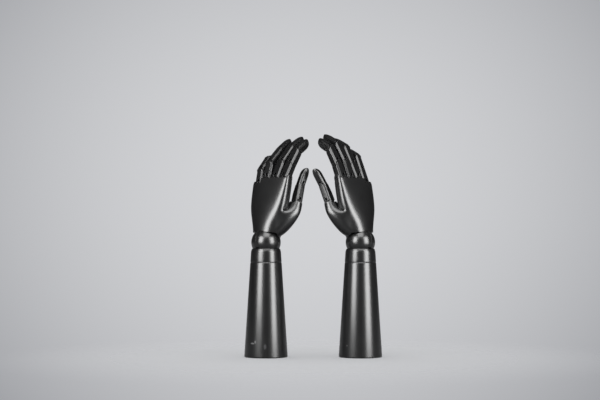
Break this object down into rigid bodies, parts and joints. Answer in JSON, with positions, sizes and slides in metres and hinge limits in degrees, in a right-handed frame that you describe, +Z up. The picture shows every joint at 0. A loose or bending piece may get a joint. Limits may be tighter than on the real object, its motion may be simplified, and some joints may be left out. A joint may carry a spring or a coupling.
{
  "type": "hand mannequin",
  "caption": "Pair of jointed wooden hand mannequins, a left and a right in satin black, each hand turning and bending on a ball wrist above a tapered turned forearm.",
  "frame": {"origin": "centre of the left mannequin's foot, on the surface that both stand on", "axes": "+Z up along the forearm, +X from the left mannequin's foot to the right one's, +Y away from a viewer who sees the backs of both hands"},
  "size_m": [0.2343, 0.116, 0.3826],
  "materials": {
    "lacquer": "satin black lacquer",
    "pin_steel": "drawn wire"
  },
  "bodies": {
    "left_forearm": {"left_forearm": "lacquer"},
    "left_wrist": {"left_wrist_ball": "lacquer", "left_wrist_pin": "pin_steel"},
    "left_palm": {"left_palm": "lacquer", "left_knuckle_rod": "pin_steel", "left_little_knuckle_rod": "pin_steel"},
    "left_index_lower": {"left_index_lower": "lacquer"},
    "left_index_mid": {"left_index_mid": "lacquer", "left_index_mid_pin": "pin_steel"},
    "left_index_tip": {"left_index_tip": "lacquer", "left_index_tip_pin": "pin_steel"},
    "left_middle_lower": {"left_middle_lower": "lacquer"},
    "left_middle_mid": {"left_middle_mid": "lacquer", "left_middle_mid_pin": "pin_steel"},
    "left_middle_tip": {"left_middle_tip": "lacquer", "left_middle_tip_pin": "pin_steel"},
    "left_ring_lower": {"left_ring_lower": "lacquer"},
    "left_ring_mid": {"left_ring_mid": "lacquer", "left_ring_mid_pin": "pin_steel"},
    "left_ring_tip": {"left_ring_tip": "lacquer", "left_ring_tip_pin": "pin_steel"},
    "left_little_lower": {"left_little_lower": "lacquer"},
    "left_little_mid": {"left_little_mid": "lacquer", "left_little_mid_pin": "pin_steel"},
    "left_little_tip": {"left_little_tip": "lacquer", "left_little_tip_pin": "pin_steel"},
    "left_thumb_lower": {"left_thumb_lower": "lacquer", "left_thumb_lower_pin": "pin_steel"},
    "left_thumb_tip": {"left_thumb_tip": "lacquer", "left_thumb_tip_pin": "pin_steel"},
    "right_forearm": {"right_forearm": "lacquer"},
    "right_wrist": {"right_wrist_ball": "lacquer", "right_wrist_pin": "pin_steel"},
    "right_palm": {"right_palm": "lacquer", "right_knuckle_rod": "pin_steel", "right_little_knuckle_rod": "pin_steel"},
    "right_index_lower": {"right_index_lower": "lacquer"},
    "right_index_mid": {"right_index_mid": "lacquer", "right_index_mid_pin": "pin_steel"},
    "right_index_tip": {"right_index_tip": "lacquer", "right_index_tip_pin": "pin_steel"},
    "right_middle_lower": {"right_middle_lower": "lacquer"},
    "right_middle_mid": {"right_middle_mid": "lacquer", "right_middle_mid_pin": "pin_steel"},
    "right_middle_tip": {"right_middle_tip": "lacquer", "right_middle_tip_pin": "pin_steel"},
    "right_ring_lower": {"right_ring_lower": "lacquer"},
    "right_ring_mid": {"right_ring_mid": "lacquer", "right_ring_mid_pin": "pin_steel"},
    "right_ring_tip": {"right_ring_tip": "lacquer", "right_ring_tip_pin": "pin_steel"},
    "right_little_lower": {"right_little_lower": "lacquer"},
    "right_little_mid": {"right_little_mid": "lacquer", "right_little_mid_pin": "pin_steel"},
    "right_little_tip": {"right_little_tip": "lacquer", "right_little_tip_pin": "pin_steel"},
    "right_thumb_lower": {"right_thumb_lower": "lacquer", "right_thumb_lower_pin": "pin_steel"},
    "right_thumb_tip": {"right_thumb_tip": "lacquer", "right_thumb_tip_pin": "pin_steel"}
  },
  "joints": [
    {"name": "left_wrist_turn", "type": "hinge", "parent": "left_forearm", "child": "left_wrist", "pos_m": [0, 0, 0.195], "axis": [0, 0, 1], "range_deg": [-60, 60]},
    {"name": "left_wrist_bend", "type": "hinge", "parent": "left_wrist", "child": "left_palm", "pos_m": [0, 0, 0.195], "axis": [-0.788, 0.6157, 0], "range_deg": [-45, 35]},
    {"name": "left_index_knuckle", "type": "hinge", "parent": "left_palm", "child": "left_index_lower", "pos_m": [0.03221, -0.00092, 0.30333], "axis": [-0.788, 0.6157, 0], "range_deg": [-20, 25]},
    {"name": "left_index_mid_hinge", "type": "hinge", "parent": "left_index_lower", "child": "left_index_mid", "pos_m": [0.04235, 0.00888, 0.32752], "axis": [-0.7646, 0.6416, 0.0604], "range_deg": [-4, 66]},
    {"name": "left_index_tip_hinge", "type": "hinge", "parent": "left_index_mid", "child": "left_index_tip", "pos_m": [0.0541, 0.02058, 0.35191], "axis": [-0.7646, 0.6416, 0.0604], "range_deg": [-22, 38]},
    {"name": "left_middle_knuckle", "type": "hinge", "parent": "left_palm", "child": "left_middle_lower", "pos_m": [0.01795, 0.01022, 0.30333], "axis": [-0.788, 0.6157, 0], "range_deg": [-18, 42]},
    {"name": "left_middle_mid_hinge", "type": "hinge", "parent": "left_middle_lower", "child": "left_middle_mid", "pos_m": [0.02785, 0.02154, 0.33157], "axis": [-0.7802, 0.6251, 0.0231], "range_deg": [-16, 54]},
    {"name": "left_middle_tip_hinge", "type": "hinge", "parent": "left_middle_mid", "child": "left_middle_tip", "pos_m": [0.04396, 0.04068, 0.35746], "axis": [-0.7802, 0.6251, 0.0231], "range_deg": [-16, 44]},
    {"name": "left_ring_knuckle", "type": "hinge", "parent": "left_palm", "child": "left_ring_lower", "pos_m": [0.00376, 0.0213, 0.30333], "axis": [-0.788, 0.6157, 0], "range_deg": [-8, 52]},
    {"name": "left_ring_mid_hinge", "type": "hinge", "parent": "left_ring_lower", "child": "left_ring_mid", "pos_m": [0.00848, 0.02898, 0.33089], "axis": [-0.7942, 0.6068, -0.0332], "range_deg": [-32, 38]},
    {"name": "left_ring_tip_hinge", "type": "hinge", "parent": "left_ring_mid", "child": "left_ring_tip", "pos_m": [0.02439, 0.05105, 0.35369], "axis": [-0.7942, 0.6068, -0.0332], "range_deg": [-8, 52]},
    {"name": "left_little_knuckle", "type": "hinge", "parent": "left_palm", "child": "left_little_lower", "pos_m": [-0.0104, 0.03047, 0.29486], "axis": [-0.7946, 0.5997, -0.0944], "range_deg": [-7, 53]},
    {"name": "left_little_mid_hinge", "type": "hinge", "parent": "left_little_lower", "child": "left_little_mid", "pos_m": [-0.00773, 0.03782, 0.31913], "axis": [-0.7946, 0.5997, -0.0944], "range_deg": [-30, 40]},
    {"name": "left_little_tip_hinge", "type": "hinge", "parent": "left_little_mid", "child": "left_little_tip", "pos_m": [0.00396, 0.05651, 0.33948], "axis": [-0.7946, 0.5997, -0.0944], "range_deg": [-36, 24]},
    {"name": "left_thumb_base_hinge", "type": "hinge", "parent": "left_palm", "child": "left_thumb_lower", "pos_m": [0.05335, 0.00087, 0.26423], "axis": [0.7591, 0.5513, -0.3462], "range_deg": [-21, 12]},
    {"name": "left_thumb_tip_hinge", "type": "hinge", "parent": "left_thumb_lower", "child": "left_thumb_tip", "pos_m": [0.05902, 0.01164, 0.29382], "axis": [0.7591, 0.5513, -0.3462], "range_deg": [-59, 11]},
    {"name": "right_mannequin_lift", "type": "slide", "parent": "left_forearm", "child": "right_forearm", "axis": [0, 0, 1], "range_m": [0, 0.4]},
    {"name": "right_wrist_turn", "type": "hinge", "parent": "right_forearm", "child": "right_wrist", "pos_m": [0.1605, 0, 0.195], "axis": [0, 0, 1], "range_deg": [-60, 60]},
    {"name": "right_wrist_bend", "type": "hinge", "parent": "right_wrist", "child": "right_palm", "pos_m": [0.1605, 0, 0.195], "axis": [-0.7547, -0.6561, 0], "range_deg": [-45, 5]},
    {"name": "right_index_knuckle", "type": "hinge", "parent": "right_palm", "child": "right_index_lower", "pos_m": [0.12838, -0.00261, 0.30333], "axis": [-0.7547, -0.6561, 0], "range_deg": [-12, 48]},
    {"name": "right_index_mid_hinge", "type": "hinge", "parent": "right_index_lower", "child": "right_index_mid", "pos_m": [0.12004, 0.00401, 0.32923], "axis": [-0.7357, -0.6742, -0.0647], "range_deg": [-8, 62]},
    {"name": "right_index_tip_hinge", "type": "hinge", "parent": "right_index_mid", "child": "right_index_tip", "pos_m": [0.10885, 0.01378, 0.35471], "axis": [-0.7357, -0.6742, -0.0647], "range_deg": [-30, 30]},
    {"name": "right_middle_knuckle", "type": "hinge", "parent": "right_palm", "child": "right_middle_lower", "pos_m": [0.14204, 0.00927, 0.30333], "axis": [-0.7547, -0.6561, 0], "range_deg": [-11, 49]},
    {"name": "right_middle_mid_hinge", "type": "hinge", "parent": "right_middle_lower", "child": "right_middle_mid", "pos_m": [0.13389, 0.01737, 0.33319], "axis": [-0.7483, -0.6629, -0.0244], "range_deg": [-12, 58]},
    {"name": "right_middle_tip_hinge", "type": "hinge", "parent": "right_middle_mid", "child": "right_middle_tip", "pos_m": [0.12033, 0.03156, 0.36337], "axis": [-0.7483, -0.6629, -0.0244], "range_deg": [-32, 28]},
    {"name": "right_ring_knuckle", "type": "hinge", "parent": "right_palm", "child": "right_ring_lower", "pos_m": [0.15563, 0.02107, 0.30333], "axis": [-0.7547, -0.6561, 0], "range_deg": [-20, 40]},
    {"name": "right_ring_mid_hinge", "type": "hinge", "parent": "right_ring_lower", "child": "right_ring_mid", "pos_m": [0.14688, 0.03268, 0.32843], "axis": [-0.7657, -0.6425, 0.0302], "range_deg": [-2, 68]},
    {"name": "right_ring_tip_hinge", "type": "hinge", "parent": "right_ring_mid", "child": "right_ring_tip", "pos_m": [0.13548, 0.04768, 0.35851], "axis": [-0.7657, -0.6425, 0.0302], "range_deg": [-34, 26]},
    {"name": "right_little_knuckle", "type": "hinge", "parent": "right_palm", "child": "right_little_lower", "pos_m": [0.16929, 0.03097, 0.29486], "axis": [-0.7622, -0.6405, 0.0944], "range_deg": [-18, 42]},
    {"name": "right_little_mid_hinge", "type": "hinge", "parent": "right_little_lower", "child": "right_little_mid", "pos_m": [0.1632, 0.04152, 0.31727], "axis": [-0.7622, -0.6405, 0.0944], "range_deg": [-1, 69]},
    {"name": "right_little_tip_hinge", "type": "hinge", "parent": "right_little_mid", "child": "right_little_tip", "pos_m": [0.15573, 0.05426, 0.34337], "axis": [-0.7622, -0.6405, 0.0944], "range_deg": [-36, 24]},
    {"name": "right_thumb_base_hinge", "type": "hinge", "parent": "right_palm", "child": "right_thumb_lower", "pos_m": [0.10718, -0.00192, 0.26423], "axis": [0.7869, -0.5108, 0.3462], "range_deg": [-36, 14]},
    {"name": "right_thumb_tip_hinge", "type": "hinge", "parent": "right_thumb_lower", "child": "right_thumb_tip", "pos_m": [0.09631, 0.00159, 0.29412], "axis": [0.7869, -0.5108, 0.3462], "range_deg": [-60, 10]}
  ]
}
